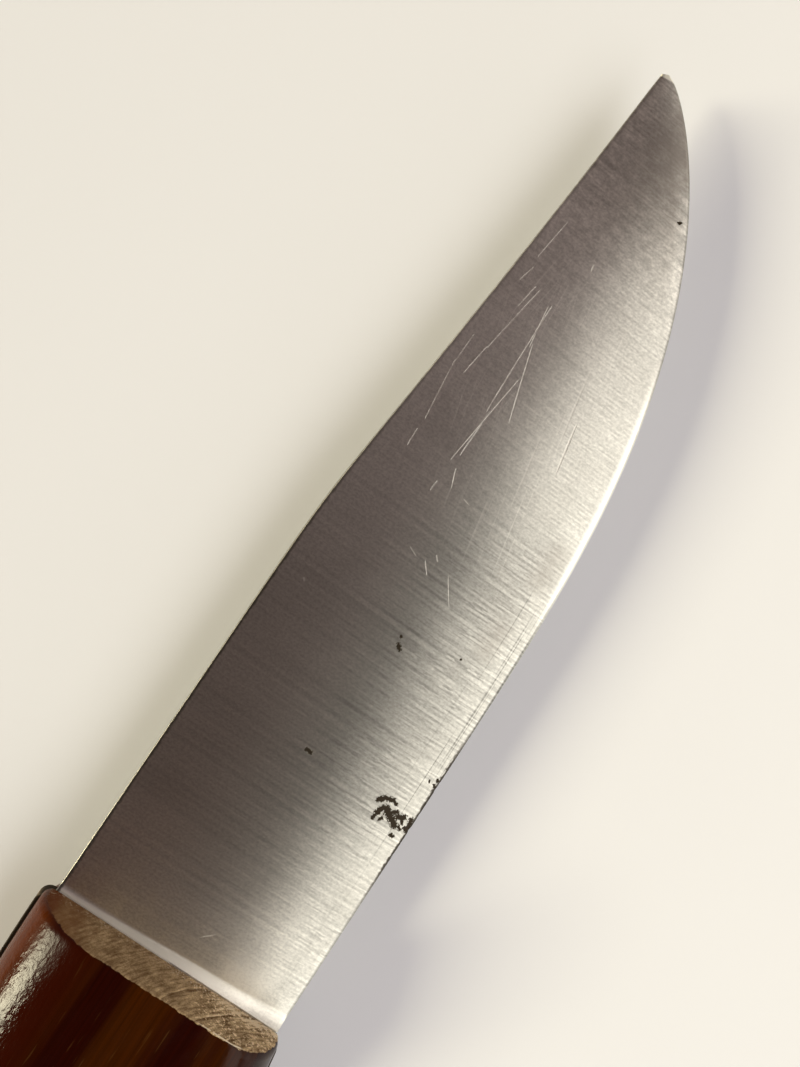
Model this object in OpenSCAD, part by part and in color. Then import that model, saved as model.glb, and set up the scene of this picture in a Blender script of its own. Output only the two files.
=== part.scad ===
// Deck knife: a broad fixed blade on a full-length tang, two wooden scales,
// three two-piece brass rivets and a brass lanyard tube. Millimetres.
// The knife lies on its left scale: +X runs to the tip, +Y to the spine, +Z is up.

/* [Blade] */
// Length from the front of the scales to the tip
blade_l = 127; // [100:1:160]
// Width from cutting edge to spine at the heel
blade_w = 32.4; // [28:0.2:38]
// Thickness of the ground spine at the heel
spine_t = 2.1; // [1.2:0.1:2.3]
// Thickness of the spine just behind the tip
tip_t = 0.9; // [0.6:0.1:1.2]
// Thickness behind the sharpened bevel
edge_t = 0.4; // [0.2:0.05:0.6]
// Height of the sharpened bevel
bevel_h = 0.6; // [0.3:0.1:1.5]
// Thickness left at the very edge
edge_land = 0.06; // [0.02:0.02:0.1]
// Swell of each ground face between edge and spine
face_crown = 0.2; // [0:0.05:0.4]
// Distance from the scales at which the spine starts to fall
clip_start = 55; // [40:1:75]
// Fall of the spine from there to the tip
clip_drop = 5.6; // [2:0.2:12]
// Hollow of that falling stretch
clip_hollow = 0.4; // [0:0.1:1.5]
// Distance from the scales at which the edge starts to rise
belly_start = 42; // [20:0.5:50]
// Power of the rise: a higher one keeps the edge straight for longer
belly_power = 2.8; // [2:0.1:4]
// Fullness of the rise towards the tip: a higher one is blunter
belly_full = 1.3; // [1:0.1:2]
// Height of the blunted point
tip_land = 1; // [0.2:0.1:2]
// Width of the eased corners along the spine
spine_ease = 0.2; // [0.05:0.05:0.4]
// Radius of the grind where it runs out before the scales
plunge_r = 1.8; // [0.8:0.1:6]

/* [Tang] */
// Thickness of the tang
tang_t = 2.4; // [2.3:0.1:4]
// How far the tang stands out of the shrunken scales all round
tang_proud = 0.5; // [0.1:0.05:0.8]
// Strip of full-thickness steel between the scales and the grind
shoulder_l = 0.1; // [0.1:0.1:3]
// Distance of the tang's two shoulders behind the front of the scales
shoulder_in = 1; // [0.4:0.1:2]
// Rounding of the shoulders, above the spine and below the edge
shoulder_r = 1.3; // [0.4:0.1:1.6]

/* [Scales] */
// Length of the scales
handle_l = 116; // [104:1:140]
// Thickness over both scales
handle_t = 16.4; // [13:0.2:20]
// Height of the scales over the spine at their front
front_rise = 1.1; // [0.2:0.1:4]
// Height of the scales over the edge line at their front
front_heel = -0.3; // [-2:0.1:0.1]
// Lean of the front of the scales, the spine side forward
front_lean = 1.2; // [0:0.2:8]
// Rounding of the front's corners at the back and the underside
front_round = 1.2; // [0.3:0.1:2]
// Depth of the dip along the back
back_dip = 1.4; // [0:0.1:4]
// Distance of that dip from the front
back_dip_at = 42; // [25:1:50]
// Drop of the hump at the rear of the back, from the front of the back
back_hump = 0.8; // [0:0.1:4]
// Distance of that hump from the butt
back_hump_in = 32; // [20:1:45]
// Drop of the back at the butt
back_fall = 4.5; // [1:0.5:8]
// Drop of the guard swell below the edge line
guard_drop = 1.6; // [0.4:0.1:6]
// Distance of the guard swell from the front
guard_at = 11; // [6:0.5:18]
// Rise of the finger recess over the edge line
finger_rise = 5.2; // [0:0.1:8]
// Distance of the finger recess from the front
finger_at = 35; // [24:1:45]
// Rise of the palm swell over the edge line
palm_rise = 2.4; // [-1:0.1:6]
// Distance of the palm swell from the butt
palm_in = 44; // [36:1:50]
// Rise of the rear waist over the edge line
waist_rise = 5.4; // [1:0.1:8]
// Distance of the rear waist from the butt
waist_in = 19; // [17:0.5:28]
// Rise of the beak at the butt over the edge line
beak_rise = 2.6; // [0:0.1:6]
// Length of the rounded butt
butt_l = 15; // [8:0.5:16.5]
// Length over which the sides roll in at the butt
butt_roll = 6; // [3:0.5:10]
// Width of the rounding along the back
back_round = 9; // [4:0.5:11]
// Width of the rounding along the underside
belly_round = 6; // [3:0.5:9]
// Depth of both roundings, seen from the front
round_t = 6; // [3:0.2:6.4]

/* [Rivets] */
// Distance of the front rivet from the front of the scales
rivet_front = 20; // [12:0.5:28]
// Distance of the rear rivet from the butt
rivet_rear = 37; // [30:0.5:45]
// Diameter of the rivet heads
head_d = 8; // [6:0.1:10]
// Thickness of the rivet heads
head_t = 1.6; // [1:0.1:2.5]
// Diameter of the hollow shank
shank_d = 5; // [4:0.1:6]
// Diameter of the solid pin inside it
pin_d = 3.4; // [2:0.1:4]
// Gap round a shank or head in its hole
rivet_gap = 0.05; // [0.02:0.01:0.2]
// Gap round the pin in the shank
pin_gap = 0.02; // [0.01:0.01:0.05]
// Room left past the end of the pin and of the shank
rivet_room = 0.4; // [0.1:0.1:1.5]

/* [Lanyard tube] */
// Distance of the tube from the butt
lanyard_in = 13; // [11:0.5:18]
// Bore of the tube
lanyard_bore = 6; // [4:0.1:7]
// Wall of the tube
lanyard_wall = 1; // [0.6:0.1:1.5]
// Eased mouths of the tube
lanyard_mouth = 0.4; // [0.1:0.1:0.6]
// Gap round the tube in its hole
lanyard_gap = 0.05; // [0.02:0.01:0.2]

/* [Hidden] */
$fn = 48;

// Finishes
steel = [0.62, 0.60, 0.56];
wood = [0.24, 0.13, 0.06];
brass = [0.72, 0.56, 0.28];

// Stretches of the lofts: along the grind run-out, the straight blade, the clip and
// across a face, then past the front's corners, along the handle, round its butt and
// round each corner
plunge_n = 8;
straight_n = 8;
clip_n = 30;
face_n = 6;
front_n = 12;
handle_n = 30;
butt_n = 12;
corner_n = 8;

// Derived sizes of the blade. A tapering spine thins with this power of the distance.
taper_power = 1.5;
tip_wedge = 0.14;
plunge_l = sqrt(plunge_r * tang_t);
root_l = shoulder_in + shoulder_r;
grind_step = edge_land / 2;

// Derived sizes of the handle. The faces of the loft are skimmed flat by a little,
// and its rounded butt is a superellipse of this power that ends at this angle.
scale_t = (handle_t - tang_t) / 2;
skim = scale_t / 60;
butt_power = 2.4;
butt_turn = 83;
butt_flat = 0.4;
front_top = blade_w + front_rise;
back_line = [[0, front_top], [back_dip_at, front_top - back_dip],
             [handle_l - back_hump_in, front_top - back_hump], [handle_l, front_top - back_fall]];
under_line = [[0, front_heel], [guard_at, -guard_drop], [finger_at, finger_rise],
              [handle_l - palm_in, palm_rise], [handle_l - waist_in, waist_rise],
              [handle_l, beak_rise]];
butt_y = (back_line[3][1] + under_line[5][1]) / 2;
reach = blade_l + handle_l;

// Places of the rivets and the tube: the outer rivets and the tube are midway between
// back and underside, and the middle rivet is halfway between the outer two
rivet_s = [rivet_front, (rivet_front + handle_l - rivet_rear) / 2, handle_l - rivet_rear];
front_y = middle_y(rivet_s[0]);
rear_y = middle_y(rivet_s[2]);
rivet_at = [[-rivet_s[0], front_y], [-rivet_s[1], (front_y + rear_y) / 2], [-rivet_s[2], rear_y]];
lanyard_at = [-(handle_l - lanyard_in), middle_y(handle_l - lanyard_in)];

// Middle of the whole knife, which becomes the origin of the plan
top_y = max([for (c = back_line) c[1]]) + tang_proud;
low_y = min([for (c = under_line) c[1]]) - tang_proud;
mid_x = (blade_l - handle_l - tang_proud) / 2;
mid_y = (top_y + low_y) / 2;

// Moves a shape from the heel of the blade, midway through its thickness, to the origin
module place() { translate([-mid_x, -mid_y, handle_t / 2]) children(); }

// Smooth step from 0 to 1
function ease(t) = t * t * (3 - 2 * t);

// Height of an eased line through the stations [distance, height]
function track(line, s, i = 0) =
    s <= line[0][0] ? line[0][1]
    : i + 1 >= len(line) ? line[i][1]
    : s <= line[i + 1][0]
        ? line[i][1] + (line[i + 1][1] - line[i][1])
            * ease((s - line[i][0]) / (line[i + 1][0] - line[i][0]))
        : track(line, s, i + 1);

// Share of the full depth that is left within the rounded butt of a handle of length l
function butt_share(s, l) =
    s <= l - butt_l ? 1
    : pow(max(0, 1 - pow((s - l + butt_l) / butt_l, butt_power)), 1 / butt_power);

// Back and underside of the handle at a distance s from the front, grown outwards by out
function back_y(s, out = 0) =
    butt_y + (track(back_line, s) + out - butt_y) * butt_share(s, handle_l + out);
function under_y(s, out = 0) =
    butt_y + (track(under_line, s) - out - butt_y) * butt_share(s, handle_l + out);
function middle_y(s) = (back_y(s) + under_y(s)) / 2;

// Half thickness of the handle, rolled in at the butt
function half_t(s) =
    let (u = max(0, (s - handle_l + butt_roll) / butt_roll))
    (handle_t / 2 + skim) * (butt_flat + (1 - butt_flat) * sqrt(max(0, 1 - u * u)));

// Stations along the handle from s0 to the butt, closer together round the butt
function handle_stations(s0, out) = concat(
    [for (i = [0 : handle_n - 1]) s0 + (handle_l - butt_l - s0) * i / handle_n],
    [for (i = [0 : butt_n]) handle_l + out - butt_l + butt_l * sin(butt_turn * i / butt_n)]);

// Forward shift of the leaning front at a height y
function lean_x(y) = tan(front_lean) * (y - blade_w / 2);

// Rounding of a front corner at a distance s behind the front
function front_drop(s) =
    let (left = min(front_round, front_round - s))
    left <= 0 ? 0 : front_round - sqrt(front_round * front_round - left * left);

// Closed skin over a list of rings of equal length
module skin(rings) {
    n = len(rings[0]);
    m = len(rings);
    polyhedron(
        points = [for (r = rings) each r],
        faces = concat(
            [[for (j = [0 : n - 1]) n - 1 - j]],
            [[for (j = [0 : n - 1]) (m - 1) * n + j]],
            [for (i = [0 : m - 2], j = [0 : n - 1])
                [i * n + j, i * n + (j + 1) % n, (i + 1) * n + j]],
            [for (i = [0 : m - 2], j = [0 : n - 1])
                [i * n + (j + 1) % n, (i + 1) * n + (j + 1) % n, (i + 1) * n + j]]));
}

// Spine of the blade: straight, then a falling hollow stretch to the tip
function spine_y(x) =
    let (u = max(0, (x - clip_start) / (blade_l - clip_start)))
    blade_w - clip_drop * u - 4 * clip_hollow * u * (1 - u);

// Cutting edge: straight, then a belly that rises to the point
function edge_y(x) =
    let (u = max(0, (x - belly_start) / (blade_l - belly_start)))
    (blade_w - clip_drop - tip_land) * (1 - pow(max(0, 1 - pow(u, belly_power)), 1 / belly_full));

// Half thickness at a distance x: the ground face g, lifted by the run-out of the grind
// so that it meets the full tang at the shoulder
function plunge_z(x, g) =
    let (run = sqrt(2 * plunge_r * (tang_t / 2 - grind_step - g)),
         left = max(0, run - max(0, x - shoulder_l)))
    g + left * left / (2 * plunge_r);

// One side of the blade's section from edge to spine, as [height, half thickness]
function blade_side(x) =
    let (low = edge_y(x), high = spine_y(x), w = high - low,
         bevel = min(bevel_h, w / 4),
         taper = pow(max(0, x) / blade_l, taper_power),
         thick = min(spine_t - (spine_t - tip_t) * taper, edge_t + tip_wedge * w),
         corner = min(spine_ease, w / 8),
         y0 = low + bevel, y1 = high - corner)
    concat(
        [[low, edge_land / 2]],
        [for (i = [0 : face_n])
            let (v = i / face_n)
            [y0 + (y1 - y0) * v,
             (edge_t + (thick - edge_t) * v) / 2 + 4 * face_crown * v * (1 - v) * w / blade_w]],
        [[high, thick / 2 - corner]]);

// Ring round the blade at a distance x. The lean of the front fades out along the blade.
function blade_ring(x) =
    let (side = blade_side(x), fade = max(0, 1 - max(0, x) / clip_start), n = len(side) - 1,
         right = [for (p = side) [x + lean_x(p[0]) * fade, p[0], plunge_z(x, p[1])]])
    concat(right, [for (j = [0 : n]) let (p = right[n - j]) [p[0], p[1], -p[2]]]);

// Ground blade, from just inside the tang to the tip
module blade_body() {
    plunge_end = shoulder_l + plunge_l;
    skin([for (x = concat(
        [shoulder_l - root_l],
        [for (i = [0 : plunge_n]) shoulder_l + plunge_l * i / plunge_n],
        [for (i = [1 : straight_n]) plunge_end + (clip_start - plunge_end) * i / straight_n],
        [for (i = [1 : clip_n]) clip_start + (blade_l - clip_start) * sin(90 * i / clip_n)]))
        blade_ring(x)]);
}

// Flat tang with a rounded shoulder above the spine and one below the edge
module tang_plate() {
    stations = handle_stations(shoulder_r + guard_at / 4, tang_proud);
    top = front_top + tang_proud;
    low = front_heel - tang_proud;
    n = len(stations) - 1;
    translate([0, 0, -tang_t / 2]) linear_extrude(height = tang_t) polygon(concat(
        [for (i = [0 : corner_n]) let (a = 90 * i / corner_n)
            [lean_x(low) - shoulder_in - shoulder_r * (1 - sin(a)),
             low + shoulder_r * (1 - cos(a))]],
        [for (i = [0 : corner_n]) let (a = 90 * i / corner_n)
            [lean_x(top) - shoulder_in - shoulder_r * (1 - cos(a)),
             top - shoulder_r * (1 - sin(a))]],
        [for (s = stations) [-s, back_y(s, tang_proud)]],
        [for (i = [0 : n]) [-stations[n - i], under_y(stations[n - i], tang_proud)]]));
}

// Ring round the handle at a distance s: two elliptical corners a side, mirrored
function handle_ring(s) =
    let (top = back_y(s) - front_drop(s + lean_x(front_top)),
         low = under_y(s) + front_drop(s + lean_x(front_heel)), h = half_t(s),
         fit = min(1, (top - low) / (back_round + belly_round)),
         rt = back_round * fit, rb = belly_round * fit, rz = round_t * h / (handle_t / 2 + skim),
         right = concat(
             [for (i = [0 : corner_n]) let (a = 90 * i / corner_n)
                 [-s, low + rb * (1 - cos(a)), h - rz + rz * sin(a)]],
             [for (i = [0 : corner_n]) let (a = 90 - 90 * i / corner_n)
                 [-s, top - rt * (1 - cos(a)), h - rz + rz * sin(a)]]),
         n = len(right) - 1)
    concat(right, [for (j = [0 : n]) let (p = right[n - j]) [p[0], p[1], -p[2]]]);

// Shaped handle before it is split, from the butt to past the front
module handle_body() {
    fore = -lean_x(front_top);
    aft = front_round - lean_x(front_heel);
    stations = concat(
        [-guard_at / 2],
        [for (i = [0 : front_n - 1]) fore + (aft - fore) * i / front_n],
        handle_stations(aft, 0));
    n = len(stations) - 1;
    skin([for (i = [0 : n]) handle_ring(stations[n - i])]);
}

// Round hole from the tang outwards, and a wider one of depth t below the outer face
module stepped_hole(at, d, wide, t) {
    translate([at[0], at[1], 0]) {
        cylinder(d = d, h = handle_t);
        translate([0, 0, handle_t / 2 - t]) cylinder(d = wide, h = handle_t);
    }
}

// One scale: the handle from the tang's face to the flat side, cut off at the leaning front
module scale_shape() {
    difference() {
        intersection() {
            handle_body();
            translate([0, blade_w / 2, tang_t / 2]) rotate([0, 0, -front_lean])
                translate([-reach, -reach, 0]) cube([reach, 2 * reach, scale_t]);
        }
        for (at = rivet_at)
            stepped_hole(at, shank_d + 2 * rivet_gap, head_d + 2 * rivet_gap, head_t);
        translate([lanyard_at[0], lanyard_at[1], 0])
            cylinder(d = lanyard_bore + 2 * (lanyard_wall + lanyard_gap), h = handle_t);
    }
}

module blade() {
    color(steel) place() difference() {
        union() {
            tang_plate();
            blade_body();
        }
        for (at = rivet_at)
            translate([at[0], at[1], -tang_t]) cylinder(d = shank_d + 2 * rivet_gap, h = 2 * tang_t);
        translate([lanyard_at[0], lanyard_at[1], -tang_t])
            cylinder(d = lanyard_bore + 2 * (lanyard_wall + lanyard_gap), h = 2 * tang_t);
    }
}

module right_scale() { color(wood) place() scale_shape(); }

module left_scale() { color(wood) place() mirror([0, 0, 1]) scale_shape(); }

// Solid half of a rivet, its head flush with the right scale
module rivet_stud(at) {
    color(brass) place() translate([at[0], at[1], 0]) {
        translate([0, 0, handle_t / 2 - head_t]) cylinder(d = head_d, h = head_t);
        translate([0, 0, -handle_t / 2 + head_t + rivet_room])
            cylinder(d = pin_d, h = handle_t - 2 * head_t);
    }
}

// Hollow half of a rivet, its head flush with the left scale
module rivet_cap(at) {
    color(brass) place() translate([at[0], at[1], -handle_t / 2]) difference() {
        union() {
            cylinder(d = head_d, h = head_t);
            cylinder(d = shank_d, h = handle_t - head_t - rivet_room);
        }
        translate([0, 0, head_t]) cylinder(d = pin_d + 2 * pin_gap, h = handle_t);
    }
}

// Tube through both scales and the tang, flush at both ends, with eased mouths
module lanyard_tube() {
    r = lanyard_bore / 2;
    h = handle_t / 2;
    color(brass) place() translate([lanyard_at[0], lanyard_at[1], 0]) rotate_extrude()
        polygon([[r + lanyard_mouth, -h], [r + lanyard_wall, -h], [r + lanyard_wall, h],
                 [r + lanyard_mouth, h], [r, h - lanyard_mouth], [r, -h + lanyard_mouth]]);
}

blade();
right_scale();
left_scale();
rivet_stud(rivet_at[0]);  // front_rivet_stud
rivet_cap(rivet_at[0]);  // front_rivet_cap
rivet_stud(rivet_at[1]);  // middle_rivet_stud
rivet_cap(rivet_at[1]);  // middle_rivet_cap
rivet_stud(rivet_at[2]);  // rear_rivet_stud
rivet_cap(rivet_at[2]);  // rear_rivet_cap
lanyard_tube();
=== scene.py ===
"""Deck knife: a ground steel blade and tang, two wooden scales, brass rivets and a lanyard tube.

The pieces are numpy surfaces in metres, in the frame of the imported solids: +X runs to the tip,
+Y to the spine and +Z up, with the knife lying on its left scale. The heel, where the front of
the scales meets the line of the cutting edge, midway through the blade, is the datum of the
shapes and of the patterns in the materials.
"""

import math

import bpy
import numpy as np
from bpy.props import FloatProperty, FloatVectorProperty, PointerProperty
from mathutils import Matrix, Vector


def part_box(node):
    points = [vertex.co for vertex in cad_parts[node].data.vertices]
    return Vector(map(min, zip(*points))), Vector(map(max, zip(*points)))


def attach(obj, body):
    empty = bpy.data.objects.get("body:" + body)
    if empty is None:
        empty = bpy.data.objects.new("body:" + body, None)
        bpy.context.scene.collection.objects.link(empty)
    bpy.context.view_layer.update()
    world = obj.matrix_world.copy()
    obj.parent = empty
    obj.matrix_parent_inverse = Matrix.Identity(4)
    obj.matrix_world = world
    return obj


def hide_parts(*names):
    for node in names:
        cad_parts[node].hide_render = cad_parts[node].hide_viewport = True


bl_info = {
    "name": "Deck knife",
    "version": (1, 0, 0),
    "blender": (4, 5, 0),
    "location": "View3D > Sidebar > Deck knife",
    "description": "Builds a deck knife around its packed solids, with its finishes and its stage",
    "category": "Add Mesh",
}

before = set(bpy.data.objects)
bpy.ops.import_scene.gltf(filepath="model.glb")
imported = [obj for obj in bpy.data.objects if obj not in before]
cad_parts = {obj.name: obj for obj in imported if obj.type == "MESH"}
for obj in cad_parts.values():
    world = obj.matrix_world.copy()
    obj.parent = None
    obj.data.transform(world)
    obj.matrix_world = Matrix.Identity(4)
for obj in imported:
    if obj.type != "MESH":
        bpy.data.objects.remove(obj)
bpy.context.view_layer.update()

MM = 0.001
BODY = "root"
SHARP_ANGLE = math.radians(40)

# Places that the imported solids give
STEEL_LOW, STEEL_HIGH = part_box("blade")
RIGHT_LOW, RIGHT_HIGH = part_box("right_scale")
LEFT_LOW, LEFT_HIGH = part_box("left_scale")
MIDDLE_Z = (RIGHT_LOW.z + LEFT_HIGH.z) / 2
RIVETS = ("front_rivet", "middle_rivet", "rear_rivet")

# Nicks in the cutting edge: millimetres from the heel, and share of the deepest one
NICKS = ((24.9, 0.5), (28.6, 1.0), (30.7, 0.5), (34.5, 0.9), (35.3, 0.7), (61.0, 0.4))


def length(name, description, default):
    """A length in metres that shows in the scene's own units."""
    return FloatProperty(
        name=name, description=description, default=default, unit="LENGTH", precision=5)


def angle(name, description, degrees):
    """An angle in radians that shows in degrees."""
    return FloatProperty(
        name=name, description=description, default=math.radians(degrees), unit="ROTATION")


def colour(name, description, default):
    """A colour in linear red, green and blue."""
    return FloatVectorProperty(
        name=name, description=description, default=default, subtype="COLOR", size=3, min=0, max=1)


class BladeSizes(bpy.types.PropertyGroup):
    """Sizes and colours of the blade and its tang."""

    reach: length("Blade length", "From the front of the scales to the tip", 127 * MM)
    width: length("Blade width", "From cutting edge to spine at the heel", 32.4 * MM)
    spine_t: length("Spine thickness", "Ground spine at the heel", 1.8 * MM)
    tip_t: length("Tip thickness", "Spine just behind the tip", 0.9 * MM)
    edge_t: length("Edge thickness", "Behind the sharpened bevel", 0.4 * MM)
    bevel_h: length("Bevel height", "Height of the sharpened bevel", 0.6 * MM)
    edge_land: length("Edge land", "Thickness left at the very edge", 0.06 * MM)
    face_crown: length("Face crown", "Swell of each ground face", 0.2 * MM)
    clip_start: length("Clip start", "Where the spine starts to fall", 57 * MM)
    clip_soft: length("Clip softness", "How softly the spine starts to fall", 6 * MM)
    clip_drop: length("Clip drop", "Fall of the spine to the tip", 5.6 * MM)
    clip_hollow: length("Clip hollow", "Hollow of the falling stretch", 0.4 * MM)
    belly_start: length("Belly start", "Where the edge starts to rise", 42 * MM)
    belly_power: FloatProperty(
        name="Belly power", description="Higher keeps the edge straight for longer", default=2.8)
    belly_full: FloatProperty(
        name="Belly fullness", description="Higher is blunter towards the tip", default=1.3)
    tip_land: length("Tip land", "Height of the blunted point", 1 * MM)
    spine_ease: length("Spine ease", "Rounding along the corners of the spine", 0.2 * MM)
    plunge_r: length("Plunge radius", "Radius of the grind's run-out", 1.6 * MM)
    tang_t: length("Tang thickness", "Between the scales", RIGHT_LOW.z - LEFT_HIGH.z)
    tang_proud: length("Tang stand-out", "How far the tang stands out of the scales", 0.5 * MM)
    shoulder_l: length("Shoulder length", "Full-thickness steel ahead of the scales", 0.1 * MM)
    shoulder_in: length("Shoulder place", "Tang's shoulders behind the front of the scales", 1 * MM)
    shoulder_r: length("Shoulder radius", "Rounding of the tang's shoulders", 1.3 * MM)
    nick_depth: length("Nick depth", "Deepest nick in the worn edge", 0.1 * MM)
    nick_half: length("Nick half width", "Half width of a nick", 0.25 * MM)
    heel_rise: length("Heel rise", "How far the worn edge rises at the scales", 0.35 * MM)
    heel_l: length("Heel length", "Length of the worn heel", 2.5 * MM)
    tip_slant: length("Tip slant", "How far the blunted point leans back", 0.55 * MM)
    steel: colour("Steel", "Clean ground steel", (0.68, 0.665, 0.595))
    stain: colour("Stain", "Old grey stain on the steel", (0.295, 0.268, 0.230))
    rust: colour("Rust", "Dark rust in the pits", (0.076, 0.060, 0.042))


class HandleSizes(bpy.types.PropertyGroup):
    """Sizes and colours of the wooden scales."""

    reach: length("Scale length", "From front to butt", 116 * MM)
    thick: length("Handle thickness", "Over both scales", RIGHT_HIGH.z - LEFT_LOW.z)
    front_rise: length("Front rise", "Scales over the spine at their front", 1.1 * MM)
    front_heel: length("Front heel", "Scales over the edge line at their front", -0.3 * MM)
    front_lean: angle("Front lean", "Lean of the front, the spine side forward", 2.5)
    front_round: length("Front rounding", "Front's corners at back and underside", 1.2 * MM)
    front_flat: FloatProperty(
        name="Front flattening", description="0 leaves the front's lower rounding elliptical, 1 is flat",
        default=0.4, min=0, max=1)
    left_wear_l: length("Left wear length", "Worn back corner of the left front, along", 5 * MM)
    left_wear_d: length("Left wear depth", "Worn back corner of the left front, across", 3.2 * MM)
    back_dip: length("Back dip", "Depth of the dip along the back", 1.4 * MM)
    back_dip_at: length("Back dip place", "From the front", 42 * MM)
    back_hump: length("Back hump", "Drop of the hump from the front of the back", 0.8 * MM)
    back_hump_in: length("Back hump place", "From the butt", 32 * MM)
    back_fall: length("Back fall", "Drop of the back at the butt", 4.5 * MM)
    guard_drop: length("Guard drop", "Guard swell below the edge line", 1.6 * MM)
    guard_at: length("Guard place", "From the front", 11 * MM)
    finger_rise: length("Finger rise", "Finger recess over the edge line", 5.2 * MM)
    finger_at: length("Finger place", "From the front", 35 * MM)
    palm_rise: length("Palm rise", "Palm swell over the edge line", 2.4 * MM)
    palm_in: length("Palm place", "From the butt", 44 * MM)
    waist_rise: length("Waist rise", "Rear waist over the edge line", 5.4 * MM)
    waist_in: length("Waist place", "From the butt", 19 * MM)
    beak_rise: length("Beak rise", "Beak at the butt over the edge line", 2.6 * MM)
    butt_l: length("Butt length", "Length of the rounded butt", 15 * MM)
    butt_roll: length("Butt roll", "Length over which the sides roll in", 6 * MM)
    back_round: length("Back rounding", "Width of the rounding along the back", 9 * MM)
    belly_round: length("Belly rounding", "Width of the rounding along the underside", 6 * MM)
    round_t: length("Rounding depth", "Depth of both roundings", 6 * MM)
    front_ease: length("Front ease", "Worn rounding of the front's corners", 0.25 * MM)
    hole_gap: length("Hole gap", "Gap round rivets and tube", 0.05 * MM)
    wood_dark: colour("Dark wood", "Dark bands", (0.0148, 0.0013, 0.0002))
    wood_mid: colour("Wood", "Main colour", (0.0335, 0.0074, 0.0002))
    wood_light: colour("Light wood", "Light flecks", (0.095, 0.045, 0.014))
    wood_red: colour("Red wood", "Reddish wood towards the back", (0.030, 0.0030, 0.0003))
    amber: colour("Amber", "Thin polished wood along the back", (0.105, 0.022, 0.0015))
    end_pale: colour("Pale end grain", "Bare wood of the front, light fibres", (0.95, 0.70, 0.39))
    end_dark: colour("Dark end grain", "Bare wood of the front, dark fibres", (0.10, 0.046, 0.013))
    end_fleck: colour("End flecks", "Palest flecks of the front", (0.92, 0.78, 0.56))
    end_burnt: colour("Dark end", "Darkened front towards the back", (0.15, 0.06, 0.016))
    # The dust colour also paints a highlight along the rubbed lower corner of the front
    dust: colour("Dust", "Dust in the joint and rubbed lower corner", (0.86, 0.74, 0.54))


class BrassSizes(bpy.types.PropertyGroup):
    """Sizes and colours of the rivets and the lanyard tube."""

    head_t: length("Head thickness", "Thickness of a rivet head", 1.6 * MM)
    shank_d: length("Shank diameter", "Hollow half of a rivet", 5 * MM)
    pin_d: length("Pin diameter", "Solid half of a rivet", 3.4 * MM)
    ease: length("Eased rim", "Worn rim of a head", 0.18 * MM)
    pin_gap: length("Pin gap", "Gap between pin and shank", 0.02 * MM)
    bore: length("Tube bore", "Bore of the lanyard tube", 6 * MM)
    brass: colour("Brass", "Rubbed brass", (0.56, 0.40, 0.17))
    tarnish: colour("Tarnish", "Brown tarnish", (0.16, 0.095, 0.038))


class StageSizes(bpy.types.PropertyGroup):
    """Floor and camera."""

    floor_size: length("Floor size", "Side of the square floor", 6.0)
    floor: colour("Floor", "Pale floor", (0.835, 0.848, 0.885))
    camera_x: length("Camera along", "From the heel towards the tip", 53.3 * MM)
    camera_y: length("Camera across", "From the edge line towards the spine", 32.3 * MM)
    camera_z: length("Camera height", "Over the middle of the blade", 99.4 * MM)
    camera_roll: angle("Camera roll", "Tilt towards the spine", 6)
    camera_pitch: angle("Camera pitch", "Tilt towards the tip", 3)
    camera_turn: angle("Camera turn", "Turn of the knife in the picture", 56.195)
    lens: FloatProperty(name="Lens", description="Focal length in millimetres", default=27.0)


def heel(blade):
    """The datum: front of the scales, line of the cutting edge, middle of the blade."""
    middle_y = (STEEL_LOW.y + STEEL_HIGH.y) / 2
    handle = bpy.context.scene.knife_handle
    top = blade.width + handle.front_rise + blade.tang_proud
    low = -handle.guard_drop - blade.tang_proud
    return Vector((STEEL_HIGH.x - blade.reach, middle_y - (top + low) / 2, MIDDLE_Z))


# Shapes

def ease(t):
    """Smooth step from 0 to 1: three squares less two cubes."""
    return t * t * (3 - 2 * t)


def track(stations, s):
    """Height at distances s along an eased line: a smooth step between each two stations."""
    at, height = np.array(stations).T
    i = np.clip(np.searchsorted(at, s, side="right") - 1, 0, len(at) - 2)
    t = np.clip((s - at[i]) / (at[i + 1] - at[i]), 0, 1)
    return height[i] + (height[i + 1] - height[i]) * ease(t)


def handle_lines(handle, blade, s, out=0.0):
    """Back and underside of the handle at distances s from the front, grown outwards by out.

    Both are eased lines through given stations, drawn in round the butt by a superellipse.
    """
    top = blade.width + handle.front_rise
    end = handle.reach
    back = [(0, top), (handle.back_dip_at, top - handle.back_dip),
            (end - handle.back_hump_in, top - handle.back_hump), (end, top - handle.back_fall)]
    under = [(0, handle.front_heel), (handle.guard_at, -handle.guard_drop),
             (handle.finger_at, handle.finger_rise), (end - handle.palm_in, handle.palm_rise),
             (end - handle.waist_in, handle.waist_rise), (end, handle.beak_rise)]
    middle = (back[-1][1] + under[-1][1]) / 2
    power = 2.4
    u = np.clip((s - end - out + handle.butt_l) / handle.butt_l, 0, 1)
    share = (1 - u ** power) ** (1 / power)
    return (middle + (track(back, s) + out - middle) * share,
            middle + (track(under, s) - out - middle) * share)


def butt_stations(handle, out, count):
    """Distances round the butt, closer together towards its end by a sine."""
    turn = math.radians(88.6)
    t = np.linspace(0, turn, count)
    return handle.reach + out - handle.butt_l + handle.butt_l * np.sin(t)


def lean(handle, blade, y):
    """Forward shift of the leaning front at heights y."""
    return math.tan(handle.front_lean) * (y - blade.width / 2)


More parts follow.
